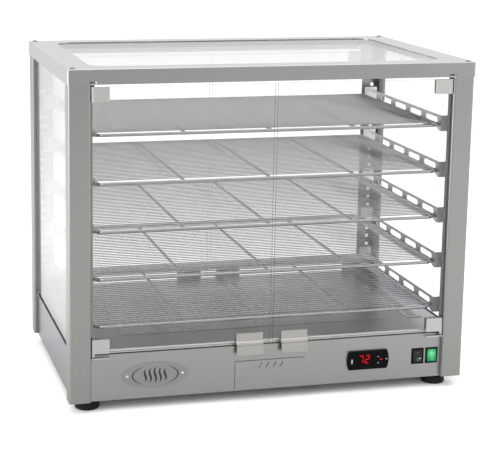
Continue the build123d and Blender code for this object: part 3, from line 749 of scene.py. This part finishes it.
def on_off_signs(body, ink, steps=5):
    """A stroke above the rocker's middle and a circle below it, both lying on its tilted face."""
    x, z = middle_of(body)
    low, high = ON_SIGN
    stroke = [(x, z + low + (high - low) * step / steps) for step in range(steps + 1)]
    circle = ring((x, z - OFF_SIGN_DROP), OFF_SIGN_RADIUS, 20)
    for part, points, closed in (("on", stroke, False), ("off", circle, True)):
        line = [front_face(body, *point)[0] for point in points]
        bead(f"{body}_{part}_sign", [line], SIGN_THICKNESS, ink, body, closed)


def rocker_marks():
    """The on and off signs on each rocker, and a small lamp in the black one."""
    on_off_signs("rocker_power", moulded("sign_white", (0.42, 0.42, 0.41), 0.5))
    on_off_signs("rocker_heat", moulded("sign_pale", (0.55, 0.75, 0.62), 0.4))
    lamp = lit("lamp_green", (0.1, 0.5, 0.3), (0.25, 1.0, 0.65), 1.0)
    x, z = middle_of("rocker_power")
    place, normal = front_face("rocker_power", x + LAMP_OFFSET[0], z + LAMP_OFFSET[1])
    tip = -math.atan2(normal.z, -normal.y)
    lens_cap("power_lamp", place, tip, LAMP_RADIUS, LAMP_RISE, lamp, "rocker_power")


# ---------------------------------------------------------------- seals and screws
def side_pane_seals(steps=12):
    """The black sealing strip under each side pane, between its locking plates."""
    seal = moulded("seal_rubber", (0.012, 0.012, 0.011), 0.5, gloss=0.3)
    lines = []
    for side, way in (("left", -1), ("right", 1)):
        low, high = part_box(f"side_glass_{side}")
        outer = (low.x if way < 0 else high.x) + way * SEAL_OUT
        start, end = low.y + SEAL_END, high.y - SEAL_END
        lines.append([(outer, start + (end - start) * step / steps, low.z) for step in range(steps + 1)])
    bead("side_pane_seals", lines, SEAL_THICKNESS, seal, "cabinet")


def screw_heads():
    """Dome screws with a hexagon socket in each, in place of the plain domes."""
    low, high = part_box("top_screws")
    height = high.z - low.z
    ball = (DOME_RADIUS**2 + height**2) / (2 * height)
    turns = [2 * math.pi * place / DOME_POINTS for place in range(DOME_POINTS)]

    def hexagon(turn, half_side=math.pi / 6):
        """How far the socket's wall is from its middle."""
        from_flat = (turn + half_side) % (2 * half_side) - half_side
        return SOCKET_CORNER * math.cos(half_side) / math.cos(from_flat)

    def dome(radius):
        """The radius and height of a point on the dome."""
        return radius, high.z - ball + math.sqrt(ball**2 - radius**2)

    rings = [[(DOME_RADIUS, low.z)] * DOME_POINTS]
    rings += [[dome(DOME_RADIUS * share)] * DOME_POINTS for share in DOME_STEPS]
    rings.append([dome(hexagon(turn) + SOCKET_LIP) for turn in turns])
    rings.append([(hexagon(turn), dome(hexagon(turn))[1] - SOCKET_CHAMFER) for turn in turns])
    rings.append([(hexagon(turn), high.z - SOCKET_DEPTH) for turn in turns])

    made = bmesh.new()
    for x in (low.x + DOME_RADIUS, high.x - DOME_RADIUS):
        for y in (low.y + DOME_RADIUS, high.y - DOME_RADIUS):
            loops = [
                [
                    made.verts.new((x + radius * math.cos(turn), y + radius * math.sin(turn), z))
                    for turn, (radius, z) in zip(turns, row)
                ]
                for row in rings
            ]
            skin(made, loops)
    mesh = as_mesh(made, "top_screw_heads")
    for face in mesh.polygons:
        face.use_smooth = True
    mesh.set_sharp_from_angle(angle=math.radians(35))
    piece = add_piece("top_screw_heads", mesh, SCREW, "cabinet")
    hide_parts("top_screws")


# ---------------------------------------------------------------- studio
def studio_world():
    """A plain white studio: brightest overhead and behind, softer in front, and white where it is seen."""
    world = bpy.data.worlds.new("studio")
    bpy.context.scene.world = world
    tree = Tree(world)
    direction = tree.node("ShaderNodeSeparateXYZ")
    tree.feed(direction.inputs[0], tree.node("ShaderNodeTexCoord").outputs["Generated"])
    behind = tree.spread(direction.outputs["Y"], 0.0, 1.0, *BEHIND_RANGE)
    side = tree.math("POWER", tree.math("ABSOLUTE", direction.outputs["X"]), 2.0)
    low = tree.math("ADD", tree.spread(behind, *LOW_GLOW), tree.math("MULTIPLY", side, SIDE_GLOW))
    glow = tree.node("ShaderNodeMix", data_type="FLOAT")
    tree.feed(glow.inputs["Factor"], tree.spread(direction.outputs["Z"], 0.0, 1.0, *RISE_RANGE))
    tree.feed(glow.inputs["A"], low)
    tree.feed(glow.inputs["B"], tree.spread(behind, *HIGH_GLOW))
    direct = tree.node("ShaderNodeLightPath").outputs["Is Camera Ray"]
    light, seen = tree.background(glow.outputs["Result"]), tree.background(SEEN_GLOW)
    tree.finish(tree.blend(direct, light, seen), "ShaderNodeOutputWorld")


def studio_paper(name):
    """The floor's paper: white where it is seen, and greyer in front in what metal mirrors."""
    material, tree = new_material(name)
    place = tree.node("ShaderNodeSeparateXYZ")
    tree.feed(place.inputs[0], tree.node("ShaderNodeTexCoord").outputs["Object"])
    mottle = tree.noise(2.0)
    far = tree.math("SUBTRACT", place.outputs["Y"], tree.math("MULTIPLY", place.outputs["X"], BACK_SLANT))
    far = tree.spread(tree.math("ADD", far, tree.math("MULTIPLY", mottle, 0.1)), 0.0, 1.0, *BACK_RANGE)
    rightward = tree.spread(place.outputs["X"], 0.0, 1.0, *RIGHT_RANGE)
    seen, mirrored = (tree.node("ShaderNodeBsdfDiffuse") for _ in range(2))
    tree.feed(seen.inputs["Color"], tree.tint(mottle, FLOOR_SEEN, shade(FLOOR_SEEN, 1.02)))
    front = tree.tint(rightward, FLOOR_FRONT_LEFT, FLOOR_FRONT_RIGHT)
    tree.feed(mirrored.inputs["Color"], tree.tint(far, front, FLOOR_BACK))
    direct = tree.node("ShaderNodeLightPath").outputs["Is Camera Ray"]
    tree.finish(tree.blend(direct, mirrored.outputs[0], seen.outputs[0]))
    return material


def studio_floor():
    mesh = bpy.data.meshes.new("floor")
    reach = FLOOR_REACH
    corners = [(-reach, -reach, 0), (reach, -reach, 0), (reach, reach, 0), (-reach, reach, 0)]
    mesh.from_pydata(corners, [], [(0, 1, 2, 3)])
    floor = bpy.data.objects.new("floor", mesh)
    bpy.context.scene.collection.objects.link(floor)
    mesh.materials.append(studio_paper("pale_floor"))


def studio_lights():
    for name, (place, target, size, watts) in LIGHTS.items():
        lamp = bpy.data.lights.new(name, "AREA")
        lamp.shape = "RECTANGLE"
        lamp.size, lamp.size_y = size
        lamp.energy = watts
        holder = bpy.data.objects.new(name, lamp)
        holder.location = place
        holder.rotation_euler = (Vector(target) - Vector(place)).to_track_quat("-Z", "Y").to_euler()
        bpy.context.scene.collection.objects.link(holder)


def studio_camera():
    camera = bpy.data.cameras.new("camera")
    camera.sensor_width = 36.0
    camera.lens = CAMERA_LENS
    camera.shift_x, camera.shift_y = CAMERA_SHIFT
    camera.clip_start = 0.05
    camera.dof.use_dof = False
    holder = bpy.data.objects.new("camera", camera)
    holder.location = CAMERA_PLACE
    holder.rotation_euler = Euler([math.radians(turn) for turn in CAMERA_TURN], "XYZ")
    bpy.context.scene.collection.objects.link(holder)
    bpy.context.scene.camera = holder


# ---------------------------------------------------------------- build
studio_camera()
studio_world()
studio_floor()
studio_lights()
bpy.context.scene.view_settings.view_transform = "Standard"
coat_everything()
display_digits()
key_marks()
bezel_marks()
badge_print()
rocker_marks()
side_pane_seals()
screw_heads()
